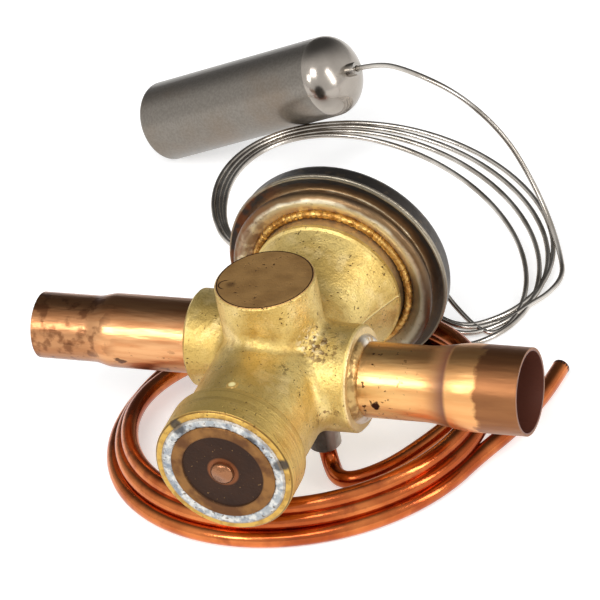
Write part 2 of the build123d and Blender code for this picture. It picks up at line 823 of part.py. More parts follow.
with BuildPart() as bulb_ferrule:
    with BuildSketch(Plane(origin=bulb_far, z_dir=along_bulb).offset(dome_pole - bulb_wall - ferrule_root)):
        Circle(ferrule_radius)
        Circle(capillary_outer / 2, mode=Mode.SUBTRACT)
    extrude(amount=bulb_wall + ferrule_root + ferrule_length)
    fillet(bulb_ferrule.edges().sort_by(bulb_axis)[-1], radius=ferrule_round)
write(bulb_ferrule.part, "bulb_ferrule")

# ---------------------------------------------------------------- the two lines and their coils


def plain_tube(name, points, outer, wall):
    """Round tube: straight runs joined by arcs as wide as the runs allow."""
    corners = [Vector(*point) for point in points]
    runs = [end - start for start, end in zip(corners, corners[1:])]
    bends = []
    for before, after in zip(runs, runs[1:]):
        half_turn = radians(before.get_angle(after)) / 2
        bends.append(bend_share * min(before.length, after.length) / tan(half_turn))
    print(name, "bends", [round(bend, 1) for bend in bends])
    with BuildPart() as tube:
        with BuildLine():
            path = FilletPolyline(*corners, radius=bends)
        with BuildSketch(Plane(origin=path @ 0, z_dir=path % 0)):
            Circle(outer / 2)
            Circle(outer / 2 - wall, mode=Mode.SUBTRACT)
        sweep()
    return tube.part


sleeve_place = (body_x + sleeve_x, port_y + sleeve_station)
equalizer_lead = plain_tube(
    "equalizer_lead",
    (
        (*sleeve_place, axis_z - sleeve_bottom + line_socket_depth),
        (*sleeve_place, line_floor + 0.8),
        (23.2, -22.8, line_floor),
        (36.6, -13.3, line_floor),
        (46.5, 3.7, line_floor),
        (55.2, 23.5, line_floor),
    ),
    equalizer_tube_outer,
    equalizer_tube_wall,
)
write(equalizer_lead, "equalizer_lead")

with BuildPart() as equalizer_coil:
    with BuildSketch():
        with Locations(line_ring_outer[0]):
            Ellipse(*line_ring_outer[1], rotation=line_ring_turn)
        with Locations(line_ring_inner[0]):
            Ellipse(*line_ring_inner[1], rotation=line_ring_turn, mode=Mode.SUBTRACT)
    extrude(amount=line_ring_height)
    fillet(equalizer_coil.edges(), radius=line_ring_fillet)
write(equalizer_coil.part, "equalizer_coil")

equalizer_tail = plain_tube(
    "equalizer_tail",
    (
        (70.5, 3.8, line_floor),
        (75.2, 17.6, line_floor),
        (79.0, 33.7, line_floor),
        (81.2, 45.7, line_floor),
        (82.6, 57.0, line_floor),
    ),
    equalizer_tube_outer,
    equalizer_tube_wall,
)
write(equalizer_tail, "equalizer_tail")

capillary_lead = plain_tube(
    "capillary_lead",
    (
        (body_x, port_y + back_station, axis_z),
        (body_x, port_y + back_reach + 9.2, axis_z),
        (8.6, 88.7, 32.0),
        (18.6, 90.7, 20.0),
        (28.6, 84.7, 8.6),
    ),
    capillary_outer,
    capillary_wall,
)
write(capillary_lead, "capillary_lead")

ring_fall, ring_climb = capillary_ring_slopes
ring_plane = Plane(
    origin=capillary_ring_center,
    x_dir=(1, 0, -ring_fall),
    z_dir=(ring_fall, -ring_climb, 1),
)
with BuildPart() as capillary_coil:
    with BuildSketch(ring_plane):
        Ellipse(*capillary_ring_outer, rotation=capillary_ring_turn)
        Ellipse(*capillary_ring_inner, rotation=capillary_ring_turn, mode=Mode.SUBTRACT)
    extrude(amount=capillary_ring_thickness / 2, both=True)
    fillet(capillary_coil.edges(), radius=capillary_ring_fillet)
write(capillary_coil.part, "capillary_coil")

dome_tip = bulb_far + along_bulb * (dome_pole + ferrule_length)
capillary_tail = plain_tube(
    "capillary_tail",
    (
        (61.1, 120.7, 3.6),
        (54.1, 132.7, 11.5),
        (45.1, 142.2, 24.0),
        (34.6, 148.2, 39.0),
        (18.6, 150.2, 54.5),
        (-2.4, 154.7, 61.0),
        tuple(dome_tip + along_bulb * 10.0),
        tuple(dome_tip - along_bulb * (ferrule_length + 0.8)),
    ),
    capillary_outer,
    capillary_wall,
)
write(capillary_tail, "capillary_tail")
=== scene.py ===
"""A refrigerant expansion valve lying on a bench, with its copper equalizer line and its sensing bulb.

The pieces are drawn in millimetres and degrees.
"""
from math import cos, pi, radians, sin

import bmesh
import bpy
from mathutils import Euler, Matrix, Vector, noise


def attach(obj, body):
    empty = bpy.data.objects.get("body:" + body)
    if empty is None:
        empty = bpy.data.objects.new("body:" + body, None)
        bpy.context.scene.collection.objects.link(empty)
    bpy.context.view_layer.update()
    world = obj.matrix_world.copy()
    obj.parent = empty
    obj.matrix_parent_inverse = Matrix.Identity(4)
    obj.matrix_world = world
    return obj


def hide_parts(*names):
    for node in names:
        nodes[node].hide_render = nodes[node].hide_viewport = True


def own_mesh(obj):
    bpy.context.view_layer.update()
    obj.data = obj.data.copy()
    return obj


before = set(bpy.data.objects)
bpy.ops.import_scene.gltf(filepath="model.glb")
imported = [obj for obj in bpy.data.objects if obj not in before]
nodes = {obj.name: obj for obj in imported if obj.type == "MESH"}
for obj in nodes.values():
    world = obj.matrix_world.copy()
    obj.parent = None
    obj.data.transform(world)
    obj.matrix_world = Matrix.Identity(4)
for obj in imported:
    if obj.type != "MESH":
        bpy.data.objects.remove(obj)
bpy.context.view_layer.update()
VALVE = "valve"
MM = 0.001

# ---------------------------------------------------------------- camera
# A long lens from the right of the closed end, looking down on the valve, slightly rolled.
camera_data = bpy.data.cameras.new("camera")
camera_data.lens = 300
camera_data.sensor_width = 36
camera_data.clip_end = 50
camera = bpy.data.objects.new("camera", camera_data)
camera.location = (0.6445, -1.3055, 1.0480)
camera.rotation_euler = Euler((radians(55.417), radians(9.103), radians(19.685)))
bpy.context.scene.collection.objects.link(camera)
bpy.context.scene.camera = camera
bpy.context.scene.view_settings.view_transform = "Standard"


# ---------------------------------------------------------------- equalizer line
# Soft 1/4 inch copper tube, brazed into the port under the outlet arm, wound three times round
# the valve and lying on the bench. Its end is cut off square and left open.
def wound(turns, start, end, points_in_turn):
    """Points of a coil whose size, turn and place drift from each loop to the next.

    Each row of turns gives centre x and y, half length, half width and the angle of the long axis.
    """
    count = round((end - start) / 360 * points_in_turn)
    points = []
    for step in range(count + 1):
        angle = start + (end - start) * step / count
        passed = max(0.0, min((angle - 90) / 360, len(turns) - 1.001))
        row = int(passed)
        share = passed - row
        this_turn, next_turn = turns[row], turns[row + 1]
        x, y, half_length, half_width, axis = [a + (b - a) * share for a, b in zip(this_turn, next_turn)]
        along = half_length * cos(radians(angle - axis))
        across = half_width * sin(radians(angle - axis))
        tilt = radians(axis)
        points.append((
            x + along * cos(tilt) - across * sin(tilt),
            y + along * sin(tilt) + across * cos(tilt),
            angle,
        ))
    return points


def smooth_step(low, high, value):
    """0 at low, 1 at high, smooth between; high may be the smaller."""
    share = max(0.0, min(1.0, (value - low) / (high - low)))
    return share * share * (3 - 2 * share)


def height_at(angle, heights):
    """Height of a coil at an angle, between the listed ones."""
    for (low, z_low), (high, z_high) in zip(heights, heights[1:]):
        if angle <= high:
            return z_low + (z_high - z_low) * smooth_step(low, high, angle)
    return heights[-1][1]


def bent_tube(name, points, radius):
    """Round tube along one smooth line through its route."""
    curve = bpy.data.curves.new(name, "CURVE")
    curve.dimensions = "3D"
    curve.bevel_depth = 1.0
    curve.bevel_resolution = 7
    curve.resolution_u = 8
    spline = curve.splines.new("NURBS")
    spline.points.add(len(points) - 1)
    for place, point in zip(spline.points, points):
        place.co = (*(Vector(point) * MM), 1.0)
        place.radius = radius * MM
    spline.order_u = 3
    spline.use_endpoint_u = True
    tube = bpy.data.objects.new(name, curve)
    bpy.context.scene.collection.objects.link(tube)
    return tube


class Finish:
    """A finish laid on coat by coat, its patterns placed in the object's own millimetres."""

    def __init__(self, name, metallic, roughness):
        self.material = bpy.data.materials.new(name)
        self.material.use_nodes = True
        self.tree = self.material.node_tree
        self.shader = self.tree.nodes["Principled BSDF"]
        self.shader.inputs["Metallic"].default_value = metallic
        self.shader.inputs["Roughness"].default_value = roughness
        where = self.tree.nodes.new("ShaderNodeTexCoord")
        self.place = self.vector("SCALE", where.outputs["Object"], Scale=1000)
        split = self.tree.nodes.new("ShaderNodeSeparateXYZ")
        self.tree.links.new(self.place, split.inputs[0])
        self.x, self.y, self.z = split.outputs
        self.color = None
        self.height = 0.0

    def feed(self, socket, value):
        if isinstance(value, bpy.types.NodeSocket):
            self.tree.links.new(value, socket)
        else:
            socket.default_value = value

    def vector(self, operation, *values, **named):
        node = self.tree.nodes.new("ShaderNodeVectorMath")
        node.operation = operation
        for number, value in enumerate(values):
            self.feed(node.inputs[number], value)
        for socket, value in named.items():
            self.feed(node.inputs[socket], value)
        return node.outputs["Value" if operation == "LENGTH" else "Vector"]

    def math(self, operation, *values):
        node = self.tree.nodes.new("ShaderNodeMath")
        node.operation = operation
        for number, value in enumerate(values):
            self.feed(node.inputs[number], value)
        return node.outputs[0]

    def all_of(self, *shares):
        """Where every share holds."""
        result = shares[0]
        for share in shares[1:]:
            result = self.math("MULTIPLY", result, share)
        return result

    def between(self, share, first, second):
        """A number between two, by share."""
        return self.math("MULTIPLY_ADD", share, second - first, first)

    def step(self, value, low, high):
        """0 at low, 1 at high, smooth between; high may be the smaller."""
        node = self.tree.nodes.new("ShaderNodeMapRange")
        node.interpolation_type = "SMOOTHSTEP"
        self.feed(node.inputs["Value"], value)
        node.inputs["From Min"].default_value = low
        node.inputs["From Max"].default_value = high
        return node.outputs[0]

    def band(self, value, middle, half, soft):
        """1 in a band of values, fading out over soft."""
        off = self.math("ABSOLUTE", self.math("SUBTRACT", value, middle))
        return self.step(off, half + soft, half)

    def away(self, point, along=(1, 1, 1)):
        """Distance from a point, or from an axis where one part of along is 0."""
        offset = self.vector("SUBTRACT", self.place, point)
        return self.vector("LENGTH", self.vector("MULTIPLY", offset, along))

    def near(self, point, reach, full):
        """1 within full of a point, fading to 0 at reach."""
        return self.step(self.away(point), reach, full)

    def noise(self, size, detail=3, stretch=(1, 1, 1), seed=0.0):
        """Cloudy pattern whose clouds are about size across."""
        spread = [part / size for part in stretch]
        moved = self.vector("MULTIPLY_ADD", self.place, spread, (seed, seed * 1.7, -seed))
        node = self.tree.nodes.new("ShaderNodeTexNoise")
        self.feed(node.inputs["Vector"], moved)
        node.inputs["Scale"].default_value = 1.0
        node.inputs["Detail"].default_value = detail
        return node.outputs["Fac"]

    def spots(self, size, low, high, detail=3, stretch=(1, 1, 1), seed=0.0):
        """Spots where the noise passes from low to high."""
        return self.step(self.noise(size, detail, stretch, seed), low, high)

    def mix(self, share, first, second):
        node = self.tree.nodes.new("ShaderNodeMix")
        node.data_type = "RGBA"
        self.feed(node.inputs["Factor"], share)
        self.feed(node.inputs["A"], first)
        self.feed(node.inputs["B"], second)
        return node.outputs["Result"]

    def ground(self, share, first, second):
        """The first coat, between two colours."""
        self.color = self.mix(share, first, second)

    def coat(self, color, *shares):
        """One more coat, where every share holds."""
        self.color = self.mix(self.all_of(*shares), self.color, color)

    def emboss(self, amount, value):
        """Raise the surface by amount where value is 1."""
        self.height = self.math("MULTIPLY_ADD", value, amount, self.height)

    def dry(self, roughness=None, metallic=None):
        """The finished material."""
        self.feed(self.shader.inputs["Base Color"], self.color)
        if roughness is not None:
            self.feed(self.shader.inputs["Roughness"], roughness)
        if metallic is not None:
            self.feed(self.shader.inputs["Metallic"], metallic)
        if isinstance(self.height, bpy.types.NodeSocket):
            bump = self.tree.nodes.new("ShaderNodeBump")
            bump.inputs["Strength"].default_value = 1.0
            bump.inputs["Distance"].default_value = MM
            self.feed(bump.inputs["Height"], self.height)
            self.tree.links.new(bump.outputs["Normal"], self.shader.inputs["Normal"])
        return self.material


def tint(red, green, blue):
    """A screen colour, 0 to 255, in linear light."""
    return tuple(((part / 255 + 0.055) / 1.055) ** 2.4 for part in (red, green, blue)) + (1.0,)


line_radius = 3.175
bench_height = 3.2
line_lead = [
    (14.5, -10.4, 20.6),
    (14.5, -10.4, 4.0),
    (23.2, -22.8, bench_height),
    (36.6, -13.3, bench_height),
    (46.5, 3.7, bench_height),
    (55.2, 23.5, 3.4),
]
line_turns = [
    (-0.1, 7.4, 63.1, 57.5, 23),
    (0.0, 6.9, 65.1, 59.5, 23),
    (-1.5, 6.4, 68.6, 62.0, 16),
    (-0.6, 5.5, 70.4, 64.6, 24.8),
]
line_first_angle, line_last_angle = 32, 1072
line_heights = [
    (32, 3.4),
    (110, 4.5),
    (200, 12.6),
    (440, 12.6),
    (560, 8.4),
    (800, 8.0),
    (930, bench_height),
    (1200, bench_height),
]
line_tail = [
    (75.2, 17.6, bench_height),
    (79.0, 33.7, bench_height),
    (80.6, 44.6, bench_height),
    (81.3, 54.8, bench_height),
]
line_coil = [
    (x, y, height_at(angle, line_heights))
    for x, y, angle in wound(line_turns, line_first_angle, line_last_angle, 24)
]
equalizer_line = bent_tube("equalizer_line", line_lead + line_coil + line_tail, line_radius)

drawn_copper = Finish("drawn copper", 1.0, 0.2)
drawn_copper.ground(drawn_copper.spots(22, 0.35, 0.65, detail=4), tint(208, 122, 68), tint(162, 78, 40))
drawn_copper.coat(tint(146, 72, 44), drawn_copper.spots(7, 0.55, 0.7, detail=4, seed=5), 0.6)
drawn_copper.coat(tint(120, 66, 44), drawn_copper.step(drawn_copper.z, 15, 19))
drawn_copper.emboss(0.06, drawn_copper.noise(2, seed=7))
equalizer_line.data.materials.append(drawn_copper.dry())

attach(equalizer_line, VALVE)
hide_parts("equalizer_lead", "equalizer_coil", "equalizer_tail")


# ---------------------------------------------------------------- open end of the line
# The line is cut with a tube cutter, which leaves a rounded lip round a slightly narrower bore.
# The lip and the bore are painted dark brown, nearly black, as the shade inside the open end.
def mesh_piece(name, vertices, faces, material):
    """Smooth closed piece from its vertices and faces."""
    mesh = bpy.data.meshes.new(name)
    mesh.from_pydata([Vector(vertex) * MM for vertex in vertices], [], faces)
    mesh.materials.append(material)
    work = bmesh.new()
    work.from_mesh(mesh)
    bmesh.ops.recalc_face_normals(work, faces=work.faces)
    work.to_mesh(mesh)
    work.free()
    for polygon in mesh.polygons:
        polygon.use_smooth = True
    piece = bpy.data.objects.new(name, mesh)
    bpy.context.scene.collection.objects.link(piece)
    return piece


def closed_rows(rows, row_length):
    """Faces of a grid that closes on itself both ways."""
    faces = []
    for row in range(rows):
        here, there = row * row_length, (row + 1) % rows * row_length
        for place in range(row_length):
            beside = (place + 1) % row_length
            faces.append((here + place, here + beside, there + beside, there + place))
    return faces


# painted shade: the whole mouth, lip and bore, is dark brown, nearly black
shade_dark_bore = Finish("bore painted dark as shade", 0.7, 0.5)
shade_dark_bore.ground(shade_dark_bore.noise(2), tint(70, 36, 26), tint(40, 20, 16))

bore_depth = 9.0
# radius and distance along the line, round the lip, down the bore and back inside the wall
lip_and_bore = [
    (3.17, -0.35),
    (3.17, 0.0),
    (2.95, 0.12),
    (2.45, 0.12),
    (2.35, -0.1),
    (2.35, -bore_depth),
    (0.02, -bore_depth),
    (0.02, -bore_depth - 0.4),
    (2.9, -bore_depth - 0.4),
]
mouth_end = Vector(line_tail[-1])
mouth_axis = (mouth_end - Vector(line_tail[-2])).normalized()
mouth_side = mouth_axis.orthogonal().normalized()
mouth_up = mouth_axis.cross(mouth_side)
mouth_steps = 32
mouth_vertices = []
for radius, depth in lip_and_bore:
    for step in range(mouth_steps):
        angle = 2 * pi * step / mouth_steps
        outward = mouth_side * (radius * cos(angle)) + mouth_up * (radius * sin(angle))
        mouth_vertices.append(mouth_end + mouth_axis * depth + outward)
line_mouth = mesh_piece(
    "line_mouth", mouth_vertices, closed_rows(len(lip_and_bore), mouth_steps), shade_dark_bore.dry()
)
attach(line_mouth, VALVE)

# ---------------------------------------------------------------- capillary
# Thin drawn steel tube that carries the bulb's pressure to the head. It leaves the back of the
# head, makes four loose turns that lean on the bench, and rises to the ferrule of the bulb.
capillary_radius = 1.0
capillary_lead = [
    (2.4, 63.8, 41.6),
    (2.4, 80.0, 41.6),
    (8.6, 88.7, 32.0),
    (18.6, 90.7, 20.0),
    (28.6, 84.7, 8.6),
    (36.2, 79.2, 4.7),
    (43.5, 74.0, 2.6),
    (50.4, 73.2, 1.4),
]
capillary_turns = [
    (-5.8, 105.3, 65.6, 48.9, -33.7),
    (-4.5, 109.0, 65.9, 52.1, -25.4),
    (-5.1, 114.1, 65.3, 52.0, -16.6),
    (-6.3, 115.9, 66.4, 54.2, -9.5),
    (-4.0, 114.0, 67.5, 52.0, -14.0),
]
capillary_first_angle, capillary_last_angle = -14, 1406
capillary_tail = [
    (57.5, 92.5, 2.1),
    (61.8, 100.0, 1.6),
    (64.6, 110.5, 2.2),
    (61.1, 120.7, 3.6),
    (54.1, 132.7, 11.5),
    (45.1, 142.2, 24.0),
    (34.6, 148.2, 39.0),
    (18.6, 150.2, 54.5),
    (-2.4, 154.7, 61.0),
    (-17.1, 160.6, 59.3),
    (-30.6, 163.0, 53.3),
]


def behind_the_head(x, y):
    """The near side of each loop is held back by the diaphragm head."""
    nearest, near_side = 77.0, 96.5
    if y >= near_side:
        return y
    held = smooth_step(40, 12, x) * smooth_step(-64, -36, x)
    pushed = nearest + 0.42 * max(0.0, y - 50.0)
    return y + held * (pushed - y)


capillary_coil = []
for x, y, angle in wound(capillary_turns, capillary_first_angle, capillary_last_angle, 20):
    y = behind_the_head(x, y)
    # each loop leans, high at the left and the back, and down to the bench at the right
    leaning = 17.0 - 0.2 * (x + 3.9) + 0.1 * (y - 121.9)
    capillary_coil.append((x, y, max(leaning, capillary_radius + 0.1)))
capillary = bent_tube("capillary", capillary_lead + capillary_coil + capillary_tail, capillary_radius)

bright_wire = Finish("bright steel wire", 1.0, 0.22)
bright_wire.ground(bright_wire.spots(14, 0.35, 0.65, detail=4), tint(206, 200, 192), tint(160, 152, 142))
capillary.data.materials.append(bright_wire.dry())

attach(capillary, VALVE)
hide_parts("capillary_lead", "capillary_coil", "capillary_tail")


# ---------------------------------------------------------------- valve body
# Hot-forged brass, with a fine grain, small pits and the parting line of the die. The collar and
# its end face are turned on a lathe, and the top of the blank boss is machined flat.
def dress(name, material):
    """Give a CAD part its finish."""
    node = nodes[name]
    node.data.materials.clear()
    node.data.materials.append(material)


body_x, body_z = 2.4, 41.6
around_body = (1, 0, 1)
collar_back, collar_front = -53.2, -68.4
boss_y, boss_top = -8.3, 79.9

brass = Finish("forged brass", 0.8, 0.46)
brass.ground(brass.spots(16, 0.35, 0.65, detail=4), tint(220, 194, 122), tint(198, 167, 94))
brass.coat(tint(234, 210, 150), brass.spots(7, 0.5, 0.72, detail=4, seed=3), 0.55)
brass.coat(tint(150, 122, 58), brass.spots(0.6, 0.48, 0.72, detail=2, seed=5), 0.4)

# turned collar, with the rings of the tool
collar = brass.step(brass.y, collar_back + 0.6, collar_back - 0.4)
rings = brass.noise(0.8, 2, stretch=(0.02, 1, 0.02), seed=2)
brass.coat(tint(206, 172, 92), collar, 0.6)
brass.coat(tint(146, 112, 52), collar, brass.step(rings, 0.5, 0.7), 0.35)

# end face of the collar, worn, with a thin dark ring painted as shade round its edge, and scorch marks from
# brazing in the plug
end_face = brass.step(brass.y, collar_front + 1.1, collar_front + 0.3)
from_body = brass.away((body_x, 0, body_z), around_body)
brass.coat(tint(200, 158, 76), end_face, 0.75)
# painted shade: a thin dark ring along the outer edge of the end face
brass.coat(tint(92, 64, 28), end_face, brass.band(from_body, 24.9, 0.15, 0.2))
brass.coat(tint(150, 110, 52), end_face, brass.spots(3, 0.45, 0.62, detail=4, seed=43), 0.6)
for x, z, reach in ((-11.8, 60.0, 3.2), (25.4, 46.4, 2.8)):
    brass.coat(tint(56, 54, 54), end_face, brass.near((x, collar_front, z), reach, reach / 2), 0.9)

# top of the boss, rougher, painted browner than the body partly as the shade the flat top catches,
# with a dark outline painted as shade round its edge, and a crescent mark
top = brass.step(brass.z, boss_top - 0.4, boss_top - 0.15)
from_boss = brass.away((body_x, boss_y, 0), (1, 1, 0))
# partly painted shade: the flat top is browner than the rest of the body
browner_top_and_shade = brass.mix(brass.spots(9, 0.35, 0.7, detail=4, seed=8), tint(196, 152, 94), tint(172, 130, 78))
brass.coat(browner_top_and_shade, top)
# painted shade: a dark ring round the edge of the top
brass.coat(tint(58, 34, 18), top, brass.band(from_boss, 17.05, 0.12, 0.22))
crescent = brass.band(brass.away((-10.6, -13.0, boss_top)), 2.5, 0.12, 0.25)
brass.coat(tint(70, 42, 24), top, crescent, brass.step(brass.x, -10.0, -11.4))
brass.coat(tint(92, 62, 36), top, brass.near((-8.8, -12.6, boss_top), 2.6, 0.4), 0.65)

# dirt and a bright scuff where the boss meets the outlet arm, and a smudge on the neck
dirt = brass.spots(2.2, 0.48, 0.60, detail=5, seed=11)
brass.coat(tint(112, 84, 52), brass.near((24.0, -18.0, 58.5), 11.0, 2.0), dirt, 0.95)
scuff = brass.all_of(brass.near((19.8, -17.5, 61.0), 7.5, 1.5), brass.spots(1.8, 0.5, 0.6, seed=14))
brass.coat(tint(228, 212, 176), scuff, 0.75)
smudge = brass.spots(1.5, 0.52, 0.62, detail=5, seed=17)
brass.coat(tint(110, 88, 50), brass.near((14.5, -33.0, 60.5), 5.5, 1.0), smudge, 0.7)
boss_root = brass.all_of(brass.band(from_boss, 19.2, 1.0, 3.0), brass.band(brass.z, 64.0, 4.0, 6.0))
brass.coat(tint(150, 116, 62), boss_root, brass.spots(5, 0.45, 0.7, detail=4, seed=19), 0.5)

# pits, a stain under the outlet arm, the arm's bright edge and the parting line
pits = brass.all_of(
    brass.spots(1.1, 0.64, 0.70, detail=2, seed=23), brass.spots(9, 0.45, 0.58, detail=2, seed=29)
)
brass.coat(tint(74, 48, 24), pits, 0.9)
stain = brass.spots(1.4, 0.55, 0.62, detail=4, seed=31)
brass.coat(tint(92, 46, 20), brass.near((28.0, -33.0, 41.0), 6.0, 1.0), stain, 0.9)
brass.coat(tint(230, 206, 160), brass.step(brass.x, 33.2, 33.7), 0.6)
on_the_flare = brass.all_of(brass.step(brass.x, 20, 22), brass.step(brass.y, 16, 20))
parting_line = brass.all_of(brass.band(brass.z, body_z, 0.16, 0.3), on_the_flare)
brass.coat(tint(238, 222, 160), parting_line, 0.7)

brass.emboss(0.15, brass.noise(0.7, seed=37))
brass.emboss(0.5, brass.noise(5.0, seed=41))
brass.emboss(0.16, brass.all_of(collar, rings))
brass.emboss(0.25, parting_line)
brass.emboss(-0.25, pits)
brass.emboss(0.15, scuff)
dress("valve_body", brass.dry(roughness=brass.between(top, 0.45, 0.52)))

# ---------------------------------------------------------------- drilling plug
# Small brass plug that closes the drilling behind the collar. It is pressed in and peened over.
# Its crown is painted pale as a highlight, brighter than its edge, and it is only slightly metallic so
# that it shows bright.
highlit_plug_brass = Finish("brass plug with painted highlight", 0.25, 0.3)
from_plug = highlit_plug_brass.away((body_x, -49.0, 0), (1, 1, 0))
# painted highlight: the pale crown, fading to brass at its edge
highlit_plug_brass.ground(highlit_plug_brass.step(from_plug, 0.7, 1.7), tint(250, 236, 170), tint(176, 140, 70))
highlit_plug_brass.emboss(0.1, highlit_plug_brass.noise(0.6, 2))
dress("drilling_plug", highlit_plug_brass.dry())

# ---------------------------------------------------------------- end plug
# Pressed steel disc with a round pip, brazed into the end of the body over the spring. The heat
# leaves it dark brown in its dish, lighter at its edge, with a warm ring round the pip.
dish_radius, pip_radius = 14.9, 4.3
heat_browned = Finish("heat-browned steel", 0.75, 0.42)
from_body = heat_browned.away((body_x, 0, body_z), around_body)
scale_cloud = heat_browned.noise(6, 4)
edge_share = heat_browned.step(scale_cloud, 0.35, 0.65)
edge_brown = heat_browned.mix(edge_share, tint(138, 96, 50), tint(96, 60, 30))
heat_browned.ground(scale_cloud, tint(60, 36, 21), tint(38, 22, 13))
heat_browned.coat(edge_brown, heat_browned.step(from_body, dish_radius - 0.5, dish_radius + 0.5))
pip = heat_browned.step(from_body, pip_radius + 0.3, pip_radius - 0.4)
heat_browned.coat(tint(124, 72, 40), heat_browned.band(from_body, pip_radius + 0.6, 0.3, 0.9))
heat_browned.coat(tint(146, 98, 66), pip)
heat_browned.coat(tint(170, 130, 80), heat_browned.spots(0.8, 0.72, 0.76, detail=2, seed=4), 0.6)
heat_browned.emboss(1.6, heat_browned.step(from_body, pip_radius + 0.9, 0.0))
heat_browned.emboss(0.12, heat_browned.noise(1.2, seed=2))
dress("end_plug", heat_browned.dry(roughness=heat_browned.between(pip, 0.45, 0.2)))

# ---------------------------------------------------------------- braze round the end plug
# Silver braze that has run round the plug and set as a lumpy grey ring with a ragged inner edge,
# with flux burnt on it in three places.
silver_braze = Finish("silver braze", 0.55, 0.42)
from_body = silver_braze.away((body_x, 0, body_z), around_body)
crust = silver_braze.noise(2.2, 5, seed=1)
silver_braze.ground(silver_braze.step(crust, 0.38, 0.62), tint(160, 164, 166), tint(212, 210, 204))
silver_braze.coat(tint(122, 130, 142), silver_braze.spots(3.2, 0.52, 0.62, detail=4, seed=6), 0.7)
silver_braze.coat(tint(96, 74, 52), silver_braze.spots(1.2, 0.60, 0.68, seed=9), 0.8)
for x, z, reach in ((-11.0, 58.8, 3.4), (15.0, 55.6, 3.2), (23.8, 46.2, 2.8)):
    burnt = silver_braze.near((x, -69.0, z), reach, reach / 2)
    silver_braze.coat(tint(58, 58, 60), burnt, silver_braze.step(crust, 0.3, 0.5), 0.9)
silver_braze.coat(tint(140, 112, 70), silver_braze.band(from_body, 22.4, 0.3, 0.4), 0.4)
silver_braze.emboss(0.4, silver_braze.noise(1.0, 4, seed=12))

ring_inner, ring_outer = 18.9, 22.72
braze_surface, braze_back = -68.45, -68.2
steps_around, steps_across = 240, 16
braze_vertices = []
for step in range(steps_around):
    angle = 2 * pi * step / steps_around
    lump = noise.noise(Vector((4 * cos(angle), 4 * sin(angle), 0)))
    ragged = noise.noise(Vector((22 * cos(angle), 22 * sin(angle), 5)))
    inner = ring_inner + 0.5 * lump + 0.75 * ragged
    profile = []
    for row in range(steps_across + 1):
        share = row / steps_across
        radius = inner + (ring_outer - inner) * share
        rough = noise.noise(Vector((radius * cos(angle) * 0.9, radius * sin(angle) * 0.9, 9)))
        crown = sin(pi * min(1.0, 0.04 + 0.96 * share)) ** 0.5
        profile.append((radius, braze_surface - (0.72 + 0.14 * lump + 0.22 * rough) * crown))
    profile += [(ring_outer - 0.12, braze_back), (inner + 0.1, braze_back)]
    for radius, y in profile:
        braze_vertices.append((body_x + radius * cos(angle), y, body_z + radius * sin(angle)))
end_braze = mesh_piece(
    "end_braze", braze_vertices, closed_rows(steps_around, steps_across + 3), silver_braze.dry()
)
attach(end_braze, VALVE)
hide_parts("end_plug_braze")

# ---------------------------------------------------------------- outlet tube
# Copper tube, expanded at its end to take 1 1/8 inch pipe. It is golden where it was polished,
# burnt at its root, and dark with oxide at the end, where it was annealed before expanding.
port_y = -10.8
along_x = (0, 1, 1)
outlet_root, taper_start, oxide_start = 34.5, 60, 83.0
lengthwise = (0.15, 1, 1)

outlet_copper = Finish("outlet copper", 1.0, 0.30)
streak = outlet_copper.noise(3.0, 4, stretch=lengthwise)
outlet_copper.ground(outlet_copper.step(streak, 0.35, 0.65), tint(232, 184, 120), tint(218, 164, 102))
outlet_copper.coat(tint(216, 152, 98), outlet_copper.step(outlet_copper.x, 44, 62), 0.55)
ragged_x = outlet_copper.math("MULTIPLY_ADD", outlet_copper.noise(5, 4, seed=4), 9.0, outlet_copper.x)
oxide = outlet_copper.step(ragged_x, oxide_start, oxide_start + 2.5)
outlet_copper.coat(outlet_copper.mix(streak, tint(142, 92, 58), tint(100, 60, 40)), oxide, 0.9)
from_port = outlet_copper.away((0, port_y, body_z), along_x)
# painted shade: the inside of the bell is dark brown and hardly metallic
inside = outlet_copper.all_of(
    outlet_copper.step(from_port, 14.9, 14.6),
    outlet_copper.step(outlet_copper.x, taper_start, taper_start + 10),
)
outlet_copper.coat(tint(104, 58, 44), inside)
burnt_root = outlet_copper.step(outlet_copper.x, 42, outlet_root)
burns = outlet_copper.spots(3.5, 0.4, 0.65, detail=4, seed=8)
outlet_copper.coat(tint(132, 98, 62), burnt_root, burns, 0.75)
specked = outlet_copper.step(outlet_copper.x, 66, 40)
outlet_copper.coat(tint(70, 40, 24), outlet_copper.spots(2.2, 0.64, 0.68, seed=15), specked, 0.9)
from_mark = outlet_copper.away((42.9, -24.1, 40.3))
ragged_mark = outlet_copper.math("MULTIPLY_ADD", outlet_copper.noise(1.2, seed=18), 2.0, from_mark)
outlet_copper.coat(tint(52, 28, 18), outlet_copper.step(ragged_mark, 2.9, 2.1))
outlet_copper.emboss(0.10, outlet_copper.noise(1.5, stretch=(0.2, 1, 1), seed=20))
outlet_gloss = outlet_copper.between(oxide, 0.33, 0.42)
outlet_metal = outlet_copper.between(inside, 1.0, 0.2)
dress("outlet_tube", outlet_copper.dry(roughness=outlet_gloss, metallic=outlet_metal))

# ---------------------------------------------------------------- inlet tube
# Copper tube, swaged down at its end to take 7/8 inch pipe. It is painted darker along its top as
# the dark reflection of the room above and behind, and darker along its underside as shade, and it is
# blotched with oxide round the swage.
inlet_y = 6.2
swage_start = -66

inlet_copper = Finish("inlet copper", 1.0, 0.30)
streak = inlet_copper.spots(3.0, 0.35, 0.65, detail=4, stretch=lengthwise, seed=3)
inlet_copper.ground(streak, tint(222, 166, 116), tint(202, 140, 92))
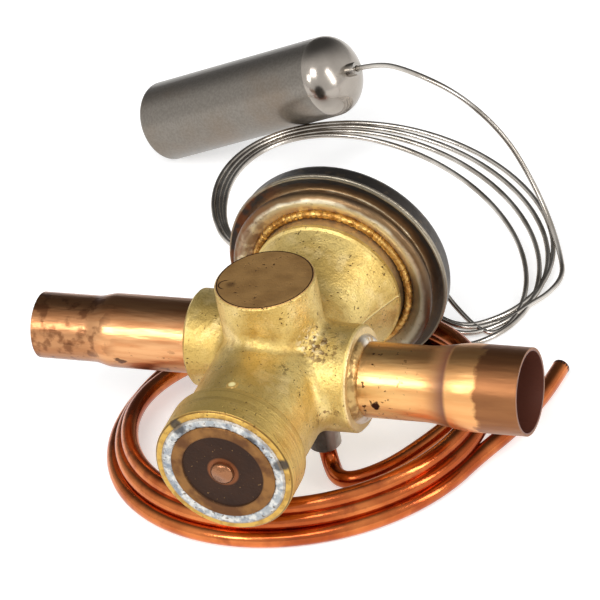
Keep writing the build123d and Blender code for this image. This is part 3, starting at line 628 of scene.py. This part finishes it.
# painted reflection: the top is darker, as the dark room above and behind is reflected there
inlet_copper.coat(tint(120, 74, 48), inlet_copper.step(inlet_copper.z, 50, 55), 0.55)
inlet_copper.coat(tint(150, 102, 68), inlet_copper.step(inlet_copper.x, swage_start, swage_start - 10), 0.6)
# painted shade: the underside is darker
inlet_copper.coat(tint(140, 88, 56), inlet_copper.step(inlet_copper.z, 40, 33), 0.6)
blotch = inlet_copper.spots(5, 0.46, 0.6, detail=4, seed=6)
round_swage = inlet_copper.step(inlet_copper.x, swage_start + 6, swage_start - 6)
inlet_copper.coat(tint(104, 62, 40), blotch, round_swage, 0.7)
stains = inlet_copper.spots(2.6, 0.60, 0.66, detail=4, stretch=(0.4, 1, 1), seed=9)
inlet_copper.coat(tint(64, 34, 22), stains, inlet_copper.step(inlet_copper.z, 46, 40), 0.85)
from_port = inlet_copper.away((0, inlet_y, body_z), along_x)
# painted shade: the inside of the socket is near black
inside = inlet_copper.step(from_port, 11.35, 11.1)
in_socket = inlet_copper.step(inlet_copper.x, swage_start - 4, swage_start - 12)
inlet_copper.coat(tint(60, 30, 22), inside, in_socket)
inlet_copper.emboss(0.12, inlet_copper.noise(1.5, stretch=(0.2, 1, 1), seed=12))
dress("inlet_tube", inlet_copper.dry())

# ---------------------------------------------------------------- joints of the two tubes
# Rings of braze where the tubes enter the arms. The outlet's is painted pale at its upper back and
# lower front edges as a reflection, and the inlet's is thin and burnt.
tube_braze = Finish("tube braze", 0.8, 0.33)
crust = tube_braze.noise(2.5, 4)
tube_braze.ground(tube_braze.step(crust, 0.4, 0.6), tint(186, 152, 96), tint(146, 112, 66))
# painted reflection: pale patches at the ring's upper back and lower front, its outline from the camera
reflection_upper_back = tube_braze.near((34.0, 1.0, 54.0), 13.0, 8.0)
reflection_lower_front = tube_braze.near((34.0, -19.0, 26.0), 11.0, 7.0)
pale = tube_braze.math("MAXIMUM", reflection_upper_back, reflection_lower_front)
tube_braze.coat(tint(230, 222, 206), pale, tube_braze.step(crust, 0.3, 0.5))
tube_braze.emboss(0.3, tube_braze.noise(1.6, seed=3))
dress("outlet_braze", tube_braze.dry())

burnt_braze = Finish("burnt braze", 0.8, 0.4)
burnt_braze.ground(burnt_braze.noise(2, 4), tint(70, 44, 28), tint(150, 110, 66))
burnt_braze.emboss(0.3, burnt_braze.noise(1.2, seed=3))
dress("inlet_braze", burnt_braze.dry())

# ---------------------------------------------------------------- equalizer sleeve
# Turned steel sleeve, brazed in under the outlet arm, that the copper line is brazed into. The
# flame has scorched it dark, and its right side is painted pale as a highlight.
scorched_steel_with_highlight = Finish("scorched steel with painted highlight", 0.9, 0.38)
scorched_steel_with_highlight.ground(scorched_steel_with_highlight.noise(4, 4), tint(96, 88, 80), tint(52, 46, 42))
# painted highlight: the right side of the sleeve is pale
scorched_steel_with_highlight.coat(tint(176, 168, 158), scorched_steel_with_highlight.step(scorched_steel_with_highlight.x, 17.0, 19.5))
scorched_steel_with_highlight.emboss(0.3, scorched_steel_with_highlight.noise(1.5, seed=3))
dress("equalizer_fitting", scorched_steel_with_highlight.dry())

# ---------------------------------------------------------------- diaphragm head
# Two covers stamped from stainless sheet, welded round their rims with the diaphragm between
# them. The heat of brazing has tinted the lower one in rings, cream, brown and dark grey; the cream
# ring is partly a painted highlight, the rim of the lower cover is painted pale as a highlight, and
# its lower right is painted darker as shade.
heat_tint_and_painted_light = Finish("heat-tinted steel with painted light", 0.85, 0.38)
from_body = heat_tint_and_painted_light.away((body_x, 0, body_z), around_body)
centred = heat_tint_and_painted_light.math("ADD", from_body, -1.2)
wavy = heat_tint_and_painted_light.math("MULTIPLY_ADD", heat_tint_and_painted_light.noise(9, 4), 2.4, centred)
heat_tint_and_painted_light.ground(heat_tint_and_painted_light.noise(6, 5, seed=3), tint(182, 158, 118), tint(206, 186, 148))
tint_and_highlight_rings = [
    # the cream ring: heat tint, and partly a painted highlight
    (30.2, 31.5, tint(244, 234, 204)),
    (35.0, 36.6, tint(120, 94, 64)),
    (37.0, 38.4, tint(88, 70, 54)),
    (38.6, 39.4, tint(66, 63, 60)),
]
for ring_start, ring_full, ring_color in tint_and_highlight_rings:
    heat_tint_and_painted_light.coat(ring_color, heat_tint_and_painted_light.step(wavy, ring_start, ring_full))
# painted highlight: a pale line along the rim of the lower cover
heat_tint_and_painted_light.coat(tint(182, 172, 150), heat_tint_and_painted_light.step(from_body, 40.5, 40.9))
rusty_side = heat_tint_and_painted_light.step(heat_tint_and_painted_light.x, -8, -26)
heat_tint_and_painted_light.coat(tint(128, 78, 42), rusty_side, heat_tint_and_painted_light.spots(5, 0.42, 0.6, detail=4, seed=8), 0.65)
# painted shade: the lower right of the cover is darker
heat_tint_and_painted_light.coat(
    tint(74, 62, 52), heat_tint_and_painted_light.step(heat_tint_and_painted_light.x, 10, 34), heat_tint_and_painted_light.step(heat_tint_and_painted_light.z, 56, 40), 0.7
)
streaks = heat_tint_and_painted_light.noise(1.4, seed=14)
heat_tint_and_painted_light.coat(tint(90, 70, 48), heat_tint_and_painted_light.step(streaks, 0.6, 0.7), 0.35)
heat_tint_and_painted_light.emboss(0.06, streaks)
heat_tint_and_painted_light.emboss(0.25, heat_tint_and_painted_light.noise(3, seed=17))
dress("head_lower_cover", heat_tint_and_painted_light.dry())

oxidised_steel = Finish("oxidised steel", 0.85, 0.36)
oxidised_steel.ground(oxidised_steel.noise(8, 4), tint(84, 78, 72), tint(56, 52, 50))
oxidised_steel.coat(tint(112, 96, 76), oxidised_steel.spots(3, 0.55, 0.7, detail=4, seed=4), 0.5)
oxidised_steel.emboss(0.15, oxidised_steel.noise(2, seed=6))
dress("head_upper_cover", oxidised_steel.dry())

rim_weld = Finish("rim weld", 0.95, 0.3)
rim_weld.ground(rim_weld.noise(3, 4), tint(176, 166, 148), tint(96, 86, 74))
rim_weld.emboss(0.2, rim_weld.noise(1, seed=2))
dress("head_rim_weld", rim_weld.dry())

fitting_steel = Finish("capillary fitting steel", 0.95, 0.33)
fitting_steel.ground(fitting_steel.noise(4), tint(150, 144, 136), tint(108, 102, 96))
dress("capillary_fitting", fitting_steel.dry())


# ---------------------------------------------------------------- bead between the body and the head
# Golden braze bead that joins the lower cover to the flange of the body. It is laid in short
# overlapping steps, so it is rippled all the way round.
def rippled_bead(name, material, steps, ring_radius, bead_radius, ripple, place):
    """Bead in short steps round a circle that faces along y, made by Geometry Nodes."""
    tree = bpy.data.node_groups.new(name, "GeometryNodeTree")
    tree.interface.new_socket("Geometry", in_out="OUTPUT", socket_type="NodeSocketGeometry")
    tree.interface.new_socket("Geometry", in_out="INPUT", socket_type="NodeSocketGeometry")
    sizes = {
        "Steps": float(steps),
        "Ring radius": ring_radius * MM,
        "Bead radius": bead_radius * MM,
        "Ripple": ripple,
    }
    sockets = {
        label: tree.interface.new_socket(label, in_out="INPUT", socket_type="NodeSocketFloat")
        for label in sizes
    }
    given = tree.nodes.new("NodeGroupInput")
    result = tree.nodes.new("NodeGroupOutput")

    def calc(operation, *values):
        node = tree.nodes.new("ShaderNodeMath")
        node.operation = operation
        for socket, value in zip(node.inputs, values):
            if isinstance(value, bpy.types.NodeSocket):
                tree.links.new(value, socket)
            else:
                socket.default_value = value
        return node.outputs[0]

    # the circle that the bead follows, and how far each place is through its step
    circle = tree.nodes.new("GeometryNodeCurvePrimitiveCircle")
    circle.inputs["Resolution"].default_value = steps * 8
    tree.links.new(given.outputs["Ring radius"], circle.inputs["Radius"])
    along = tree.nodes.new("GeometryNodeSplineParameter")
    through = calc("FRACT", calc("MULTIPLY", along.outputs["Factor"], given.outputs["Steps"]))
    swell = calc("SINE", calc("MULTIPLY", calc("POWER", through, 0.6), pi))
    uneven = tree.nodes.new("ShaderNodeTexNoise")
    uneven.inputs["Scale"].default_value = 900
    wander = calc("MULTIPLY", calc("SUBTRACT", uneven.outputs[0], 0.5), 0.5)
    fullness = calc("ADD", calc("ADD", 1.0, wander), calc("MULTIPLY", swell, given.outputs["Ripple"]))

    # the bead's round section, swept along it
    section = tree.nodes.new("GeometryNodeCurvePrimitiveCircle")
    section.inputs["Resolution"].default_value = 14
    section.inputs["Radius"].default_value = 1.0
    swept = tree.nodes.new("GeometryNodeCurveToMesh")
    tree.links.new(circle.outputs["Curve"], swept.inputs["Curve"])
    tree.links.new(section.outputs["Curve"], swept.inputs["Profile Curve"])
    tree.links.new(calc("MULTIPLY", fullness, given.outputs["Bead radius"]), swept.inputs["Scale"])
    turned = tree.nodes.new("GeometryNodeTransform")
    turned.inputs["Translation"].default_value = Vector(place) * MM
    turned.inputs["Rotation"].default_value = (pi / 2, 0, 0)
    real = tree.nodes.new("GeometryNodeRealizeInstances")
    painted = tree.nodes.new("GeometryNodeSetMaterial")
    painted.inputs["Material"].default_value = material
    tree.links.new(swept.outputs["Mesh"], turned.inputs["Geometry"])
    tree.links.new(turned.outputs["Geometry"], real.inputs["Geometry"])
    tree.links.new(real.outputs["Geometry"], painted.inputs["Geometry"])
    tree.links.new(painted.outputs["Geometry"], result.inputs[0])

    maker = bpy.data.objects.new(name + "_maker", bpy.data.meshes.new(name + "_maker"))
    bpy.context.scene.collection.objects.link(maker)
    modifier = maker.modifiers.new(name, "NODES")
    modifier.node_group = tree
    for label, value in sizes.items():
        modifier[sockets[label].identifier] = value
    bpy.context.view_layer.update()
    mesh = bpy.data.meshes.new_from_object(maker.evaluated_get(bpy.context.evaluated_depsgraph_get()))
    bpy.data.objects.remove(maker)
    work = bmesh.new()
    work.from_mesh(mesh)
    bmesh.ops.remove_doubles(work, verts=work.verts, dist=1e-6)
    bmesh.ops.recalc_face_normals(work, faces=work.faces)
    work.to_mesh(mesh)
    work.free()
    for polygon in mesh.polygons:
        polygon.use_smooth = True
    bead = bpy.data.objects.new(name, mesh)
    bpy.context.scene.collection.objects.link(bead)
    return bead


golden_braze = Finish("golden braze bead", 0.95, 0.3)
golden_braze.ground(golden_braze.spots(3, 0.35, 0.65, detail=4), tint(222, 180, 104), tint(168, 118, 56))
golden_braze.coat(tint(108, 66, 30), golden_braze.spots(1.5, 0.58, 0.68, seed=3), 0.7)
golden_braze.emboss(0.25, golden_braze.noise(0.9, seed=5))
head_bead = rippled_bead(
    "head_bead",
    golden_braze.dry(),
    steps=74,
    ring_radius=29.15,
    bead_radius=1.35,
    ripple=0.16,
    place=(body_x, 45.1, body_z),
)
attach(head_bead, VALVE)
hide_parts("head_braze_bead")

# ---------------------------------------------------------------- sensing bulb
# Stainless tube with a satin skin, closed by a flat disc at one end and a spun, polished dome at
# the other. A small ferrule is welded in the dome, where the capillary enters.
bulb_steel = Finish("bulb steel", 1.0, 0.3)
bulb_steel.ground(bulb_steel.spots(0.9, 0.3, 0.7), tint(132, 126, 118), tint(120, 114, 106))
bulb_steel.coat(tint(128, 108, 88), bulb_steel.spots(26, 0.45, 0.75, seed=4), 0.5)
bulb_steel.emboss(0.02, bulb_steel.noise(0.8, seed=6))
satin = bulb_steel.dry()
dress("bulb_tube", satin)
dress("bulb_end_disc", satin)

polished_steel = Finish("polished bulb end", 1.0, 0.2)
polished_steel.ground(polished_steel.noise(7, 4), tint(178, 170, 160), tint(146, 138, 130))
dress("bulb_dome", polished_steel.dry())

bright_steel = Finish("bright ferrule", 1.0, 0.25)
bright_steel.ground(bright_steel.noise(3), tint(206, 202, 196), tint(160, 154, 146))
dress("bulb_ferrule", bright_steel.dry())

# ---------------------------------------------------------------- working parts inside
# Diaphragm and pad, push rods, seat, needle, carrier and spring seat, all taken to be ground
# steel, and the graphite packing that seals the rods. The closed body hides them all.
ground_steel = Finish("ground steel", 1.0, 0.3)
ground_steel.ground(ground_steel.noise(4), tint(190, 186, 180), tint(150, 146, 140))
inner_steel = ground_steel.dry()
for name in (
    "diaphragm",
    "diaphragm_pad",
    "needle_carrier",
    "push_rods",
    "spring_seat",
    "valve_needle",
    "valve_seat",
):
    dress(name, inner_steel)

graphite = Finish("graphite packing", 0.2, 0.6)
graphite.ground(graphite.noise(2), tint(66, 64, 62), tint(40, 38, 38))
dress("rod_packing", graphite.dry())

# ---------------------------------------------------------------- superheat spring
# Coiled from round spring wire. In the valve the carrier presses it by the needle's stroke, and
# its far end stays on the spring seat, so it shortens as the valve opens; here it is one fixed
# copy at one length, joined to the valve body.
spring_wire = Finish("spring wire", 1.0, 0.28)
spring_wire.ground(spring_wire.noise(4), tint(150, 146, 140), tint(110, 106, 100))
spring_mesh = nodes["superheat_spring"].data.copy()
work = bmesh.new()
work.from_mesh(spring_mesh)
bmesh.ops.remove_doubles(work, verts=work.verts, dist=1e-7)
work.to_mesh(spring_mesh)
work.free()
spring_mesh.materials.clear()
spring_mesh.materials.append(spring_wire.dry())
spring_coil = bpy.data.objects.new("spring_coil", spring_mesh)
bpy.context.scene.collection.objects.link(spring_coil)

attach(spring_coil, VALVE)
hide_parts("superheat_spring")
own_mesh(spring_coil)

# ---------------------------------------------------------------- bench
# A white bench top. To the eye and in reflections it is lifted to white, and the object's soft
# shadow stays on it.
paper = bpy.data.materials.new("white bench")
paper.use_nodes = True
paper_nodes, paper_links = paper.node_tree.nodes, paper.node_tree.links
matt = paper_nodes["Principled BSDF"]
matt.inputs["Base Color"].default_value = (0.8, 0.8, 0.8, 1)
matt.inputs["Roughness"].default_value = 0.8
rays = paper_nodes.new("ShaderNodeLightPath")
seen = rays.outputs["Is Camera Ray"]
for other in ("Is Glossy Ray", "Is Transmission Ray"):
    either = paper_nodes.new("ShaderNodeMath")
    either.operation = "MAXIMUM"
    paper_links.new(seen, either.inputs[0])
    paper_links.new(rays.outputs[other], either.inputs[1])
    seen = either.outputs[0]
lift = paper_nodes.new("ShaderNodeMath")
lift.operation = "MULTIPLY"
lift.inputs[1].default_value = 0.5
paper_links.new(seen, lift.inputs[0])
glow = paper_nodes.new("ShaderNodeEmission")
glow.inputs["Color"].default_value = (1, 1, 1, 1)
paper_links.new(lift.outputs[0], glow.inputs["Strength"])
lifted = paper_nodes.new("ShaderNodeAddShader")
paper_links.new(matt.outputs[0], lifted.inputs[0])
paper_links.new(glow.outputs[0], lifted.inputs[1])
paper_links.new(lifted.outputs[0], paper_nodes["Material Output"].inputs["Surface"])

bpy.ops.mesh.primitive_plane_add(size=8, location=(0, 0, -0.0002))
bench = bpy.context.object
bench.name = "bench"
bench.data.materials.append(paper)

# ---------------------------------------------------------------- studio
# A pale room, darker high at the back, so that metal shows both light and dark. Behind it all,
# the camera sees plain white.
studio = bpy.data.worlds.new("studio")
bpy.context.scene.world = studio
studio.use_nodes = True
studio_nodes, studio_links = studio.node_tree.nodes, studio.node_tree.links
direction = studio_nodes.new("ShaderNodeTexCoord")
toward_dark = studio_nodes.new("ShaderNodeVectorMath")
toward_dark.operation = "DOT_PRODUCT"
toward_dark.inputs[1].default_value = (-0.25, 0.72, 0.65)
studio_links.new(direction.outputs["Generated"], toward_dark.inputs[0])
room_level = studio_nodes.new("ShaderNodeMapRange")
room_level.interpolation_type = "SMOOTHSTEP"
for socket, value in {"From Min": 0.30, "From Max": 0.95, "To Min": 0.95, "To Max": 0.10}.items():
    room_level.inputs[socket].default_value = value
studio_links.new(toward_dark.outputs["Value"], room_level.inputs["Value"])
rays = studio_nodes.new("ShaderNodeLightPath")
shown = studio_nodes.new("ShaderNodeMath")
shown.operation = "MAXIMUM"
studio_links.new(rays.outputs["Is Camera Ray"], shown.inputs[0])
studio_links.new(room_level.outputs[0], shown.inputs[1])
background = studio_nodes["Background"]
background.inputs["Color"].default_value = (1, 1, 1, 1)
studio_links.new(shown.outputs[0], background.inputs["Strength"])


# ---------------------------------------------------------------- lamps
# Three softboxes: the key at the left of the camera, a tall strip at the right that draws the
# highlight on the dome, and a broad one high in front. Sizes here are in metres and watts.
def softbox(name, direction, distance, width, length, power):
    light = bpy.data.lights.new(name, "AREA")
    light.shape = "RECTANGLE"
    light.size = width
    light.size_y = length
    light.energy = power
    lamp = bpy.data.objects.new(name, light)
    middle_of_object = Vector((0.0, 0.02, 0.04))
    lamp.location = middle_of_object + Vector(direction).normalized() * distance
    lamp.rotation_euler = (middle_of_object - lamp.location).to_track_quat("-Z", "Y").to_euler()
    bpy.context.scene.collection.objects.link(lamp)


softbox("key", (-0.36, -0.79, 0.53), distance=1.4, width=0.30, length=0.30, power=4.5)
softbox("right strip", (0.86, -0.12, 0.40), distance=1.4, width=0.18, length=0.8, power=6.0)
softbox("front", (0.05, -0.62, 0.78), distance=1.6, width=0.7, length=0.5, power=8.0)

# ---------------------------------------------------------------- update
bpy.context.view_layer.update()
